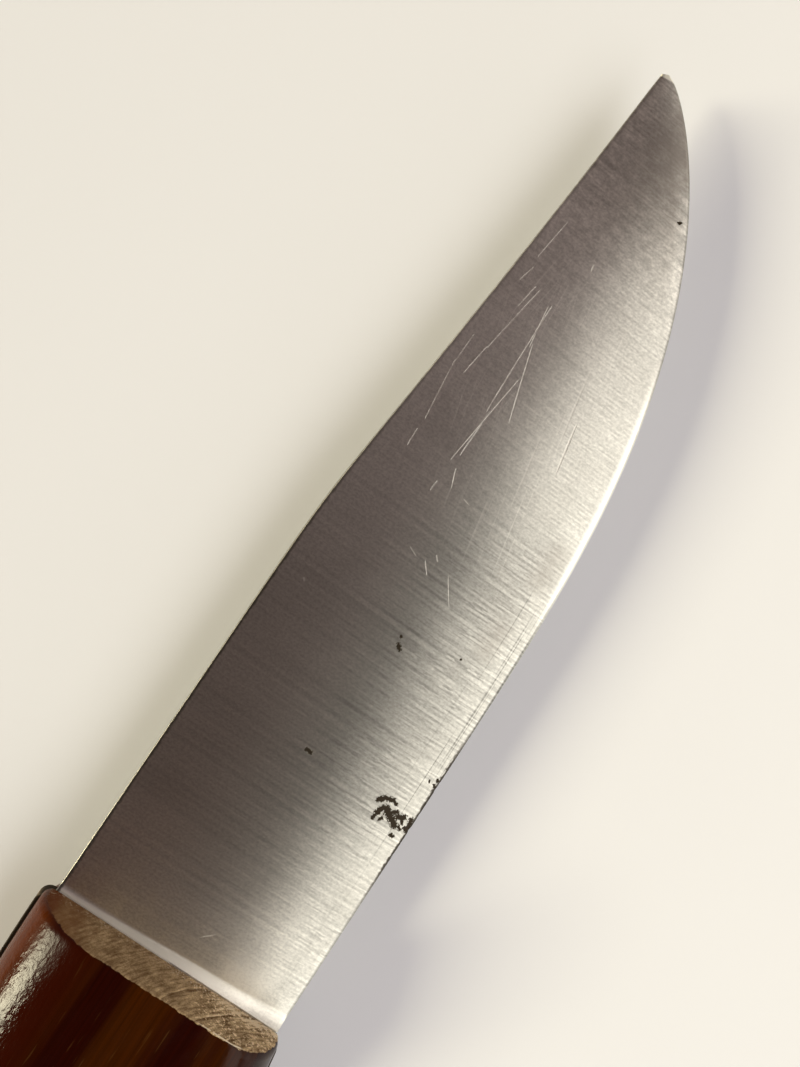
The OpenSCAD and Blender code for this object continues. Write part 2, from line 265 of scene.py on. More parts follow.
def blade_lines(blade, x):
    """Edge and spine of the blade at distances x from the scales, and the depth of the edge's nicks.

    The spine is straight and then a hollow parabola down to the tip, joined by a hyperbola. The
    edge is straight and then a superellipse up to the tip, with a few small nicks and a worn heel.
    """
    past = x - blade.clip_start
    clip = (past + np.sqrt(past ** 2 + blade.clip_soft ** 2)) / 2 / (blade.reach - blade.clip_start)
    spine = blade.width - blade.clip_drop * clip - 4 * blade.clip_hollow * clip * (1 - clip)
    rise = np.clip((x - blade.belly_start) / (blade.reach - blade.belly_start), 0, 1)
    top = blade.width - blade.clip_drop - blade.tip_land
    edge = top * (1 - (1 - rise ** blade.belly_power) ** (1 / blade.belly_full))
    place, share = np.array(NICKS).T
    nicks = share * np.exp(-(((x[:, None] - place * MM) / blade.nick_half) ** 2))
    worn = blade.heel_rise * np.maximum(0, 1 - x / blade.heel_l) ** 2
    return edge + worn, spine, blade.nick_depth * nicks.sum(1)


def steel_rings(blade, handle):
    """Rings round the tang and blade from butt to tip, and their heights over edge and below spine.

    A ring is one side's profile from edge to spine, mirrored. The tang's profile is a plate with
    eased corners. The blade's is a rolled bevel, a crowned wedge and an eased spine corner, lifted
    to the tang's thickness at the shoulder by a parabola, the run-out of the grinding wheel.
    """
    half = blade.tang_t / 2
    ease_r = 0.15 * MM
    low_turn = np.linspace(0, math.pi / 2, 9)
    high_turn = np.linspace(0, math.pi / 2, 5)
    face = np.concatenate([[0.0, 0.002], np.linspace(0.02, 0.98, 41), [0.998, 1.0]])

    # Stations of the tang, with its shoulders drawn in along quarter circles
    bend = np.linspace(0, math.pi / 2, 13)
    butt = butt_stations(handle, blade.tang_proud, 28)[::-1]
    straight = np.linspace(butt[-1], blade.shoulder_in + blade.shoulder_r, 72)[1:-1]
    shoulder = blade.shoulder_in + blade.shoulder_r * (1 - np.sin(bend))
    root = np.linspace(blade.shoulder_in, -blade.shoulder_l, 4)
    s = np.concatenate([butt, straight, shoulder, root])
    drop = np.concatenate([np.zeros(len(butt) + len(straight)), blade.shoulder_r * (1 - np.cos(bend)),
                           np.full(len(root), blade.width)])
    high, low = handle_lines(handle, blade, np.maximum(s, 0), blade.tang_proud)
    near = s < blade.shoulder_in + blade.shoulder_r
    high = np.where(near, np.maximum(high - drop, blade.width), high)[:, None]
    low = np.where(near, np.minimum(low + drop, blade.heel_rise), low)[:, None]
    y = np.hstack([
        low + ease_r * (1 - np.cos(low_turn)),
        low + ease_r + (high - low - 2 * ease_r) * face,
        high - ease_r * (1 - np.cos(high_turn[::-1]))])
    z = np.concatenate([half - ease_r + ease_r * np.sin(low_turn), np.full(len(face), half),
                        half - ease_r + ease_r * np.sin(high_turn[::-1])])
    fade = ease(np.clip(1 - s / handle.guard_at, 0, 1))[:, None]
    tang = np.dstack([-s[:, None] + lean(handle, blade, y) * fade, y, np.broadcast_to(z, y.shape)])
    tang_gap = y - low, high - y

    # Stations of the ground blade
    taper_power, roll_power = 1.5, 1.8
    wedge = 0.10
    worn_tip = 3 * MM
    start = blade.shoulder_l
    run_out = math.sqrt(2 * blade.plunge_r * half)
    to_tip = np.sin(np.linspace(0, math.pi / 2, 221))[1:]
    x = np.concatenate([
        start + run_out * np.linspace(0, 1, 25),
        np.linspace(start + run_out, blade.clip_start, 161)[1:],
        blade.clip_start + (blade.reach - blade.clip_start) * to_tip])
    low, high, nick = blade_lines(blade, x)
    width = high - low
    bevel = np.minimum(blade.bevel_h, width / 4)[:, None]
    corner = np.minimum(blade.spine_ease, width / 8)[:, None]
    taper = (x / blade.reach) ** taper_power
    thick = np.minimum(blade.spine_t - (blade.spine_t - blade.tip_t) * taper,
                       blade.edge_t + wedge * width)[:, None]
    crown = 4 * blade.face_crown * (width / blade.width)[:, None] * face * (1 - face)
    step = np.linspace(0, 1, 9)
    rolled = 1 - (1 - step) ** roll_power
    y0 = low[:, None] + bevel
    y1 = high[:, None] - corner
    edge = low[:, None] + nick[:, None] * (1 - step) + bevel * step
    y = np.hstack([edge, y0 + (y1 - y0) * face, y1 + corner * np.sin(high_turn)])
    z = np.hstack([
        (blade.edge_land + (blade.edge_t - blade.edge_land) * rolled) / 2 + 0 * bevel,
        (blade.edge_t + (thick - blade.edge_t) * face) / 2 + crown,
        thick / 2 - corner + corner * np.cos(high_turn)])
    run = np.sqrt(2 * blade.plunge_r * np.maximum(half - z, 0))
    z = z + np.maximum(run - (x - start)[:, None], 0) ** 2 / (2 * blade.plunge_r)
    fade = np.maximum(0, 1 - x / blade.clip_start)[:, None]
    ground_gap = y - low[:, None], high[:, None] - y
    near_tip = ease(np.clip((x - blade.reach) / worn_tip + 1, 0, 1))[:, None]
    slant = blade.tip_slant * near_tip * ground_gap[0] / width[:, None]
    ground = np.dstack([x[:, None] + lean(handle, blade, y) * fade - slant, y, z])

    side = np.vstack([tang, ground])
    gaps = [np.vstack(pair) for pair in zip(tang_gap, ground_gap)]
    return np.hstack([side, side[:, ::-1] * (1, 1, -1)]), [np.hstack([g, g[:, ::-1]]) for g in gaps]


def drawn_in(s, corner_l):
    """Share by which a quarter ellipse of a length draws a line in at distances s from its end."""
    return 1 - np.sqrt(1 - np.maximum(1 - s / corner_l, 0) ** 2)


def scale_rings(handle, blade, corner_l, corner_d):
    """Rings round a right scale from butt to front, with the front closed by shrinking rings.

    A ring is the flat inner face and two elliptical corners that join a flat side. Towards the
    front the lower corner grows flatter, a superellipse of a lower power. There the back is drawn
    in along a quarter ellipse of the given length and depth, the underside along one of its own,
    and the whole ring along the quarter circle of the worn rim. It then shrinks to its middle.
    """
    inner = blade.tang_t / 2
    under_share = 0.7
    least_roll = 0.4
    ease_r = 0.12 * MM
    bend = np.linspace(0, math.pi / 2, 13)
    butt = butt_stations(handle, 0, 36)[::-1]
    long_s = np.linspace(butt[-1], 1.1 * corner_l, 130)[1:]
    near_s = np.linspace(1.1 * corner_l, handle.front_ease, 15)[1:]
    rim = np.linspace(math.pi / 2, 0, 8)[1:]
    s = np.concatenate([butt, long_s, near_s, handle.front_ease * (1 - np.cos(rim))])
    inset = np.concatenate([np.zeros(len(butt) + len(long_s) + len(near_s)),
                            handle.front_ease * (1 - np.sin(rim))])
    top, low = handle_lines(handle, blade, s)
    top = top - inset - corner_d * drawn_in(s, corner_l)
    low = low + inset + under_share * handle.front_round * drawn_in(s, handle.front_round)
    u = np.clip((s - handle.reach + handle.butt_roll) / handle.butt_roll, 0, 1)
    roll = least_roll + (1 - least_roll) * np.sqrt(1 - u * u)
    h = handle.thick / 2 * roll - inset
    fit = np.minimum(1, (top - low) / (handle.back_round + handle.belly_round))
    back_r, belly_r, deep = handle.back_round * fit, handle.belly_round * fit, handle.round_t * roll
    base = inner + inset
    fade = ease(np.clip(1 - s / handle.guard_at, 0, 1))[:, None]
    flatter = 2 / (2 - handle.front_flat * fade)
    side = np.linspace(0, 1, 4)[:-1]

    def columns(edge, sign, radius, power):
        """One corner from the inner face up to the flat side: straight, then an ellipse."""
        foot = h - deep
        y = np.hstack([
            edge[:, None] + sign * ease_r + 0 * side[:1],
            edge[:, None] + 0 * side,
            edge[:, None] + sign * radius[:, None] * (1 - np.maximum(np.cos(bend), 0) ** power)])
        z = np.hstack([
            base[:, None] + 0 * side[:1],
            base[:, None] + ease_r + (foot - base - ease_r)[:, None] * side,
            foot[:, None] + deep[:, None] * np.sin(bend) ** power])
        return y, z

    belly_y, belly_z = columns(low, 1, belly_r, flatter)
    back_y, back_z = columns(top, -1, back_r, 1)
    across = np.linspace(0, 1, 18)[1:-1]
    flat_y = belly_y[:, -1:] + (back_y[:, -1:] - belly_y[:, -1:]) * across
    floor_y = back_y[:, :1] + (belly_y[:, :1] - back_y[:, :1]) * across
    y = np.hstack([belly_y, flat_y, back_y[:, ::-1], floor_y])
    z = np.hstack([belly_z, h[:, None] + 0 * across, back_z[:, ::-1], base[:, None] + 0 * across])
    rings = np.dstack([-s[:, None] + lean(handle, blade, y) * fade, y, z])
    centre = np.array([0, (top[-1] + low[-1]) / 2, (base[-1] + h[-1]) / 2])
    centre[0] = lean(handle, blade, centre[1])
    shrink = np.linspace(1, 0, 13)[1:-1, None, None]
    return np.vstack([rings, centre + (rings[-1] - centre) * shrink])


def around(rings):
    """Distance round each ring from its first point, with the closing point added."""
    closed = np.concatenate([rings, rings[:, :1]], axis=1)
    steps = np.linalg.norm(np.diff(closed, axis=1), axis=2)
    return np.hstack([np.zeros((len(rings), 1)), np.cumsum(steps, axis=1)])


def shell(name, rings, maps=None, loop=False):
    """A closed mesh over a grid of rings, which are in place already.

    Each four neighbours on the grid make a face. The two ends are closed by a fan to their middle,
    or by joining the last ring to the first. Faces are turned outwards by the sign of the volume.
    maps gives UV maps: a name and two grids with the ring's closing column included.
    """
    m, n, _ = rings.shape
    points = rings.reshape(-1, 3)
    j = np.arange(n)
    k = (j + 1) % n
    i = np.arange(m if loop else m - 1)[:, None]
    after = (i + 1) % m
    quads = np.stack([i * n + j, i * n + k, after * n + k, after * n + j], axis=-1).reshape(-1, 4)
    fans = np.zeros((0, 3), int)
    if not loop:
        points = np.vstack([points, rings[0].mean(0), rings[-1].mean(0)])
        fans = np.vstack([np.stack([k, j, np.full(n, m * n)], axis=-1),
                          np.stack([(m - 1) * n + j, (m - 1) * n + k, np.full(n, m * n + 1)], axis=-1)])
    corners = np.vstack([quads[:, [0, 1, 2]], quads[:, [0, 2, 3]], fans])
    a, b, c = (points[corners[:, t]] for t in range(3))
    flip = np.einsum("ij,ij->i", a, np.cross(b, c)).sum() < 0
    faces = [f[:, ::-1] if flip else f for f in (quads, fans)]
    mesh = bpy.data.meshes.new(name)
    mesh.from_pydata(points.tolist(), [], faces[0].tolist() + faces[1].tolist())
    for map_name, (u, v) in (maps or {}).items():
        layer = mesh.uv_layers.new(name=map_name)
        grid = np.dstack([u, v])
        quad_uv = np.stack([grid[:-1, :-1], grid[:-1, 1:], grid[1:, 1:], grid[1:, :-1]], axis=2)
        quad_uv = quad_uv.reshape(-1, 4, 2)
        ends = [np.stack([g[1:], g[:-1], np.broadcast_to(g.mean(0), (n, 2))], axis=1)
                for g in (grid[0], grid[-1][::-1])]
        fan_uv = np.vstack(ends) if not loop else np.zeros((0, 3, 2))
        parts = [p[:, ::-1] if flip else p for p in (quad_uv, fan_uv)]
        layer.data.foreach_set("uv", np.concatenate([p.reshape(-1) for p in parts]))
    mesh.polygons.foreach_set("use_smooth", np.ones(len(mesh.polygons), bool))
    mesh.validate()
    piece = bpy.data.objects.new(name, mesh)
    bpy.context.scene.collection.objects.link(piece)
    return piece


def turned(name, profile, centre, loop=False, sides=96):
    """A body turned about an upright axis: the profile of radii and heights carried round it."""
    a = np.linspace(0, 2 * math.pi, sides, endpoint=False)
    radius, height = np.array(profile).T
    rings = np.dstack([
        centre[0] + radius[:, None] * np.cos(a),
        centre[1] + radius[:, None] * np.sin(a),
        height[:, None] + 0 * a])
    return shell(name, rings, loop=loop)


def rounded(corner, radius, begin, count=6):
    """Points of a quarter turn inside a corner of a profile, from the angle begin, anticlockwise."""
    a = np.linspace(begin, begin + math.pi / 2, count)
    half_way = begin + math.pi / 4
    inward = -math.sqrt(2) * radius * np.array([math.cos(half_way), math.sin(half_way)])
    return np.array(corner) + inward + radius * np.stack([np.cos(a), np.sin(a)], axis=1)


def drill(piece, cutter):
    """Cuts the cutter's shells out of a piece and removes the cutter."""
    hole = piece.modifiers.new("holes", "BOOLEAN")
    hole.object = cutter
    hole.operation = "DIFFERENCE"
    hole.solver = "EXACT"
    graph = bpy.context.evaluated_depsgraph_get()
    mesh = bpy.data.meshes.new_from_object(piece.evaluated_get(graph))
    piece.modifiers.clear()
    old = piece.data
    piece.data = mesh
    bpy.data.meshes.remove(old)
    bpy.data.objects.remove(cutter)
    mesh.polygons.foreach_set("use_smooth", np.ones(len(mesh.polygons), bool))
    mesh.set_sharp_from_angle(angle=SHARP_ANGLE)


def hole_cutter(handle, brass, top, bottom, heads):
    """Cylinders at the rivets and the tube from bottom to top, with wider ends at the heads' faces."""
    cutters = []
    for name in RIVETS:
        low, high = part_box(name + "_stud")
        centre = (low + high) / 2
        wide = (high.x - low.x) / 2 + handle.hole_gap
        r = brass.shank_d / 2 + handle.hole_gap
        profile = [(r, bottom), (r, top)]
        if heads == "top":
            profile[1:] = [(r, high.z - brass.head_t), (wide, high.z - brass.head_t), (wide, top)]
        if heads == "bottom":
            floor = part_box(name + "_cap")[0].z + brass.head_t
            profile[:1] = [(wide, bottom), (wide, floor), (r, floor)]
        cutters.append(turned("hole", profile, centre))
    low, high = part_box("lanyard_tube")
    r = (high.x - low.x) / 2 + handle.hole_gap
    cutters.append(turned("hole", [(r, bottom), (r, top)], (low + high) / 2))
    with bpy.context.temp_override(
            active_object=cutters[0], selected_editable_objects=cutters, selected_objects=cutters):
        bpy.ops.object.join()
    return cutters[0]


def dress(piece, node, material):
    """Gives a piece its finish and lets it stand for its CAD node on the one rigid body."""
    piece.data.materials.clear()
    piece.data.materials.append(material)
    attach(piece, BODY)
    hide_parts(node)


# Materials

class Nodes:
    """Adds nodes to one tree. An input takes a number, a colour or another node's output."""

    def __init__(self, tree):
        self.tree = tree

    def put(self, kind, inputs=None, **settings):
        node = self.tree.nodes.new(kind)
        for name, value in settings.items():
            setattr(node, name, value)
        self.fill(node, inputs or {})
        return node

    def fill(self, node, inputs):
        for key, value in inputs.items():
            if isinstance(value, bpy.types.NodeSocket):
                self.tree.links.new(value, node.inputs[key])
            else:
                node.inputs[key].default_value = value

    def math(self, operation, a, b=0.0, c=0.0):
        return self.put("ShaderNodeMath", {0: a, 1: b, 2: c}, operation=operation).outputs[0]

    def fold(self, operation, values):
        """One operation carried through several values, from the first on."""
        total = values[0]
        for value in values[1:]:
            total = self.math(operation, total, value)
        return total

    def times(self, *values):
        return self.fold("MULTIPLY", values)

    def plus(self, *values):
        return self.fold("ADD", values)

    def less(self, *values):
        """The first value less all the others."""
        return self.fold("SUBTRACT", values)

    def largest(self, *values):
        return self.fold("MAXIMUM", values)

    def rest(self, share):
        """What a share leaves of 1."""
        return self.less(1, share)

    def scaled(self, value, factor, offset):
        """A value times a factor, plus an offset."""
        return self.math("MULTIPLY_ADD", value, factor, offset)

    def clamp(self, value):
        return self.put("ShaderNodeClamp", {0: value}).outputs[0]

    def vector(self, operation, a, b):
        return self.put("ShaderNodeVectorMath", {0: a, 1: b}, operation=operation).outputs[0]

    def stretch(self, vector, scale):
        inputs = {0: vector, "Scale": scale}
        return self.put("ShaderNodeVectorMath", inputs, operation="SCALE").outputs[0]

    def measure(self, operation, a, b=(0, 0, 0)):
        """A number from vectors: a length, a distance or a dot product."""
        return self.put("ShaderNodeVectorMath", {0: a, 1: b}, operation=operation).outputs["Value"]

    def join(self, x, y, z=0.0):
        return self.put("ShaderNodeCombineXYZ", {0: x, 1: y, 2: z}).outputs[0]

    def split(self, vector):
        return self.put("ShaderNodeSeparateXYZ", {0: vector}).outputs

    def uv(self, name):
        return self.put("ShaderNodeUVMap", uv_map=name).outputs[0]

    def band(self, value, low, high, start=0.0, end=1.0):
        """Smooth step of a value from start at low to end at high."""
        inputs = {"Value": value, "From Min": low, "From Max": high, "To Min": start, "To Max": end}
        return self.put("ShaderNodeMapRange", inputs, interpolation_type="SMOOTHSTEP").outputs[0]

    def window(self, value, low, full, fade, gone):
        """Smooth rise from 0 at low to 1 at full, and fall from 1 at fade to 0 at gone."""
        return self.times(self.band(value, low, full), self.band(value, gone, fade))

    def noise(self, vector, stretch, detail=2.0, roughness=0.5, tilt=0.0):
        """Noise turned about Z by tilt: stretch gives its lumps per millimetre along X, Y and Z."""
        size = tuple(1 / pace for pace in stretch)
        inputs = {"Vector": vector, "Rotation": (0, 0, tilt), "Scale": size}
        place = self.put("ShaderNodeMapping", inputs, vector_type="TEXTURE").outputs[0]
        inputs = {"Vector": place, "Scale": 1.0, "Detail": detail, "Roughness": roughness}
        return self.put("ShaderNodeTexNoise", inputs).outputs["Fac"]

    def lines(self, along, pace):
        """Noise along one direction only, with pace lumps per millimetre."""
        inputs = {"W": along, "Scale": pace, "Detail": 1.0, "Roughness": 0.6}
        return self.put("ShaderNodeTexNoise", inputs, noise_dimensions="1D").outputs["Fac"]

    def mix(self, share, a, b, blend="MIX"):
        inputs = {0: share, 6: a, 7: b}
        node = self.put("ShaderNodeMix", inputs, data_type="RGBA", blend_type=blend, clamp_factor=True)
        return node.outputs[2]

    def shaded(self, colour_value, tone):
        """A colour times a tone."""
        grey = self.put("ShaderNodeCombineColor", {0: tone, 1: tone, 2: tone}).outputs[0]
        return self.mix(1.0, colour_value, grey, "MULTIPLY")

    def bump(self, height, strength, depth_mm):
        """Normal of a surface roughened by a height whose 1 is depth_mm."""
        inputs = {"Height": height, "Strength": strength, "Distance": depth_mm * MM}
        return self.put("ShaderNodeBump", inputs).outputs[0]

    def heel_mm(self, origin):
        """Object coordinates in millimetres from the heel."""
        place = self.put("ShaderNodeTexCoord").outputs["Object"]
        return self.stretch(self.vector("SUBTRACT", place, tuple(origin)), 1 / MM)

    def ahead(self, blade, handle, x, y):
        """Distance in millimetres ahead of the leaning front of the scales."""
        middle = blade.width / 2 / MM
        return self.less(x, self.times(self.less(y, middle), math.tan(handle.front_lean)))


def opaque(colour_value):
    return (*colour_value, 1.0)


def new_material(name):
    """A material with only its shader and output, and the helper that adds to it."""
    material = bpy.data.materials.new(name)
    material.use_nodes = True
    nodes = Nodes(material.node_tree)
    shader = material.node_tree.nodes["Principled BSDF"]
    return material, nodes, shader


def feed(nodes, shader, **inputs):
    """Links or sets inputs of a shader; a name's underscores stand for spaces."""
    nodes.fill(shader, {name.replace("_", " "): value for name, value in inputs.items()})


def stroke_group():
    """Group: how much of a stroke covers a place, 1 on its line and 0 from its half width outwards.

    The stroke leads from its start along a run, and the pace is that run over its square. The half
    width is thinned towards both ends by a taper above zero.
    """
    tree = bpy.data.node_groups.new("stroke", "ShaderNodeTree")
    for name, kind in (("Place", "Vector"), ("Start", "Vector"), ("Run", "Vector"), ("Pace", "Vector"),
                       ("Width", "Float"), ("Taper", "Float")):
        tree.interface.new_socket(name, in_out="INPUT", socket_type="NodeSocket" + kind)
    tree.interface.new_socket("Cover", in_out="OUTPUT", socket_type="NodeSocketFloat")
    nodes = Nodes(tree)
    given = nodes.put("NodeGroupInput").outputs
    away = nodes.vector("SUBTRACT", given["Place"], given["Start"])
    t = nodes.clamp(nodes.measure("DOT_PRODUCT", away, given["Pace"]))
    gap = nodes.measure("DISTANCE", away, nodes.stretch(given["Run"], t))
    middle = nodes.times(t, nodes.rest(t), 4)
    width = nodes.times(given["Width"], nodes.math("POWER", middle, given["Taper"]))
    cover = nodes.rest(nodes.math("DIVIDE", gap, nodes.largest(width, 0.001)))
    end = nodes.put("NodeGroupOutput")
    tree.links.new(nodes.clamp(cover), end.inputs["Cover"])
    return tree


def strokes(nodes, group, place, marks, taper):
    """Largest cover at a place of a list of strokes: start, end and half width in millimetres."""
    covers = []
    for start, end, width in marks:
        run = Vector((*end, 0)) - Vector((*start, 0))
        inputs = {"Place": place, "Start": (*start, 0), "Run": run, "Width": width, "Taper": taper,
                  "Pace": run / max(run.length_squared, 1e-6)}
        node = nodes.put("ShaderNodeGroup", node_tree=group)
        nodes.fill(node, inputs)
        covers.append(node.outputs[0])
    return nodes.largest(*covers)


# Marks on the right face, in millimetres from the heel: start, end and half width
SCRATCHES = (
    ((103.2, 26.2), (97.2, 26.9), 0.08), ((95.9, 26.6), (93.4, 27.2), 0.11),
    ((93.9, 24.3), (83.9, 25.8), 0.14), ((84.1, 25.9), (79.6, 26.5), 0.08),
    ((94.0, 25.0), (90.6, 25.5), 0.10), ((93.2, 21.9), (88.0, 21.8), 0.14),
    ((92.9, 22.3), (87.2, 21.4), 0.10), ((88.6, 21.8), (77.3, 21.4), 0.12),
    ((75.7, 21.0), (70.8, 21.1), 0.13), ((87.8, 21.3), (77.7, 18.2), 0.11),
    ((83.3, 20.2), (69.7, 21.8), 0.08), ((84.4, 28.1), (79.6, 28.2), 0.10),
    ((80.4, 28.3), (72.1, 27.3), 0.12), ((70.6, 27.4), (68.1, 27.3), 0.10),
    ((82.8, 10.9), (76.0, 9.6), 0.17), ((69.2, 20.6), (66.8, 19.7), 0.11),
    ((66.6, 21.7), (65.1, 21.8), 0.10), ((58.9, 16.6), (58.2, 16.0), 0.12),
    ((57.5, 17.4), (56.1, 16.2), 0.11), ((57.5, 13.9), (54.3, 11.6), 0.08),
    ((66.6, 17.7), (66.3, 16.6), 0.08), ((100.8, 20.4), (99.8, 20.2), 0.12),
    ((4.1, 14.8), (5.4, 13.3), 0.08), ((57.9, 20.0), (57.3, 18.6), 0.07),
    ((47.0, 28.4), (47.5, 28.8), 0.08),
)
PITS = (
    ((29.47, 5.59), (30.13, 4.91), 0.50), ((30.13, 4.91), (30.38, 3.90), 0.50),
    ((30.36, 3.90), (30.10, 3.25), 0.31), ((27.20, 4.95), (28.10, 4.80), 0.35),
    ((28.10, 4.80), (28.90, 4.45), 0.59), ((27.45, 4.10), (27.80, 3.90), 0.36),
    ((28.98, 4.01), (28.55, 3.25), 0.78), ((28.55, 3.25), (27.85, 2.05), 0.70),
    ((28.90, 3.30), (29.40, 2.70), 0.42), ((28.90, 2.25), (29.30, 1.50), 0.53),
    ((28.75, 1.50), (28.50, 1.30), 0.31), ((27.90, 1.45), (27.75, 1.20), 0.36),
    ((28.15, 0.65), (28.05, 0.40), 0.45), ((29.50, 0.55), (28.00, 0.25), 0.48),
    ((26.60, 1.75), (26.50, 1.50), 0.40), ((34.60, 0.55), (34.50, 0.35), 0.30),
    ((35.40, 0.50), (35.25, 0.40), 0.28), ((34.80, 1.40), (34.65, 1.30), 0.20),
    ((46.85, 14.30), (46.55, 14.00), 0.46), ((48.00, 14.62), (47.85, 14.58), 0.24),
    ((30.05, 16.60), (30.00, 16.10), 0.44), ((49.70, 6.60), (49.65, 6.60), 0.22),
    ((112.20, 13.95), (112.05, 14.15), 0.34),
)
SMUDGES = (
    ((125.6, 25.9), (125.5, 25.6), 0.8), ((123.4, 25.9), (123.2, 25.7), 0.6),
    ((124.5, 23.6), (124.3, 23.7), 0.5), ((117.4, 18.5), (118.0, 16.9), 0.7),
    ((67.5, 3.6), (63.5, 3.6), 2.6), ((55.5, 4.4), (52.5, 4.6), 2.4),
)


def steel_material(blade, handle, origin):
    """Steel ground across the blade: fine cross lines, honing lines along the edge, scratches, pits."""
    material, nodes, shader = new_material("ground steel")
    band, noise, window, scaled = nodes.band, nodes.noise, nodes.window, nodes.scaled
    times, plus, less, rest, largest = nodes.times, nodes.plus, nodes.less, nodes.rest, nodes.largest
    place = nodes.heel_mm(origin)
    x, y, z = nodes.split(place)
    edge_map = nodes.uv("Edge")
    along, gap, _ = nodes.split(edge_map)
    depth_mm = nodes.split(nodes.uv("Spine"))[1]
    reach = blade.reach / MM

    # Grinding lines straight across the blade: two sets of strokes that fade into each other
    ridge_pitch = 0.6
    wander = times(noise(place, (0.3, 0.05, 0.1), 1), 6)
    even = nodes.math("SINE", plus(times(x, 2 * math.pi / ridge_pitch), wander))
    ridges = times(band(gap, 14, 6), band(along, 24, 40, 0.08, 0.26))
    first = scaled(even, ridges, nodes.lines(x, 2.6))
    second = nodes.lines(scaled(y, -0.03, x), 1.5)
    swap = times(band(noise(place, (1.4, 0.42, 0.3)), 0.42, 0.58), band(gap, 16, 6, 0.35, 1))
    lines = plus(times(first, swap), times(second, rest(swap)))
    strength = band(noise(place, (0.9, 0.42, 0.3)), 0.36, 0.64, 0.30, 1)
    lines = band(scaled(less(lines, 0.5), strength, 0.5), 0.25, 0.75)
    depth = times(band(gap, 28, 14, 0.18, 0.33), band(along, 56, 72, 1, 0.55))
    depth = times(depth, band(along, 104, 116, 1, 1.7))
    grain = noise(place, (3.6, 2.4, 2.4), 3, 0.65)
    faint = noise(place, (0.16, 0.05, 0.1))
    honed = band(noise(edge_map, (0.03, 2.9, 1), 1, 0.6, math.radians(0.3)), 0.55, 0.65)
    honed = times(honed, band(gap, 5, 2.5), band(along, 68, 56), band(along, 18, 34, 0.2, 1))

    # Marks of use on the right face
    group = stroke_group()
    plane = nodes.join(x, y)
    broken = band(noise(place, (1.6, 1.6, 1)), 0.36, 0.56, 0.6, 1)
    scratches = band(strokes(nodes, group, plane, SCRATCHES, 0.35), 0, 0.65)
    scratches = times(scratches, broken, 0.88)
    hairs = [noise(plane, (0.07, 4.4, 1), 1, 0.5, math.radians(turn)) for turn in (4, -7, 15)]
    hairs = largest(*(band(hair, 0.62, 0.74) for hair in hairs))
    curved = band(noise(plane, (0.05, 2.6, 1), 1, 0.5, math.radians(11)), 0.60, 0.74)
    rubbed = window(along, 50, 74, 94, 106)
    upper = times(hairs, rubbed, band(depth_mm, 15, 9, 0, 0.24))
    lower = times(curved, rubbed, band(depth_mm, 8, 12), band(gap, 4, 8, 0, 0.24))
    scratches = largest(scratches, upper, lower)
    ragged = band(noise(place, (4.6, 4.6, 1), 3, 0.7), 0.36, 0.64, 0.02, 0.55)
    pits = band(less(strokes(nodes, group, plane, PITS, 0), ragged), 0, 0.10)
    smudges = times(strokes(nodes, group, plane, SMUDGES, 0), 0.4)
    right = nodes.math("GREATER_THAN", z, 0)
    scratches, pits, smudges = (times(mark, right) for mark in (scratches, pits, smudges))

    # Stain in clouds and at a dulled tip; darker along the edge by the heel and along the corner of the
    # spine; a painted highlight on that corner
    clouds = band(noise(place, (0.09, 0.11, 0.1), 3, 0.6), 0.45, 0.75, 0, 0.12)
    clean = times(band(gap, 2.8, 0.8, 0, 0.7), band(along, 119, 113))
    tip = times(band(along, reach - 30, reach - 6), band(depth_mm, 1.5, 7, 0.40, 0.86), rest(clean))
    mottle = band(noise(place, (0.5, 0.5, 0.5), 3), 0.2, 0.6, 0.8, 1)
    stain = times(largest(clouds, tip, smudges), mottle)
    uneven = scaled(noise(place, (1.3, 1.3, 1), 3, 0.7), 0.8, -0.40)
    heel_edge = times(band(plus(gap, uneven), 0.42, 0.22), window(along, 14, 24, 36, 46))
    # Painted highlight: a pale line along the corner of the spine, towards the heel
    painted_spine_highlight = times(band(depth_mm, 0.16, 0.06), band(along, 70, 30, 0, 0.7))
    corner = band(scaled(uneven, 0.6, depth_mm), 0.58, 0.30)
    corner = times(corner, band(along, 40, 82, 0.85, 0.28), rest(painted_spine_highlight))
    # Painted highlight along the edge bevel towards the belly
    edge_highlight = times(window(along, 55, 68, 84, 98), band(gap, 1.3, 0.3))
    # Painted highlight on the end face of the blunted tip
    point = band(along, reach - 0.55, reach - 0.35)

    # The run-out of the grind before the scales is left coarse and rough, with a painted highlight that
    # makes it pale, and fades into the face; a painted highlight on the face by the heel
    rim = band(nodes.ahead(blade, handle, x, y), -0.25, -0.05, 1, 0)
    soft = band(y, blade.width / MM, 0, 0.45, 1.1)
    coarse_and_highlit = nodes.math("DIVIDE", less(scaled(grain, 0.5, x), 1.05), soft)
    coarse_and_highlit = times(band(coarse_and_highlit, 1, 0), rest(rim))
    # Painted highlight: the pale colour of the run-out strip
    strip_highlight = times(coarse_and_highlit, band(y, 2, 14, 0.35, 1))
    # Painted highlight on the face just ahead of the heel
    heel_highlight = times(band(along, 6.5, 1.6), band(grain, 0.3, 0.7, 0.7, 1), window(gap, 2.5, 5.5, 8.5, 12.5))

    # Painted shade on stretches of the face and towards the belly, painted light and painted shade by the
    # scales, and a patchy tip
    dull = times(window(along, 10, 34, 58, 84), band(gap, 22, 13, 0, 0.27), band(gap, 0.5, 6, 0.3, 1))
    belly = times(band(along, 62, 78, 0, 0.09), band(along, 110, 94), band(gap, 10, 4))
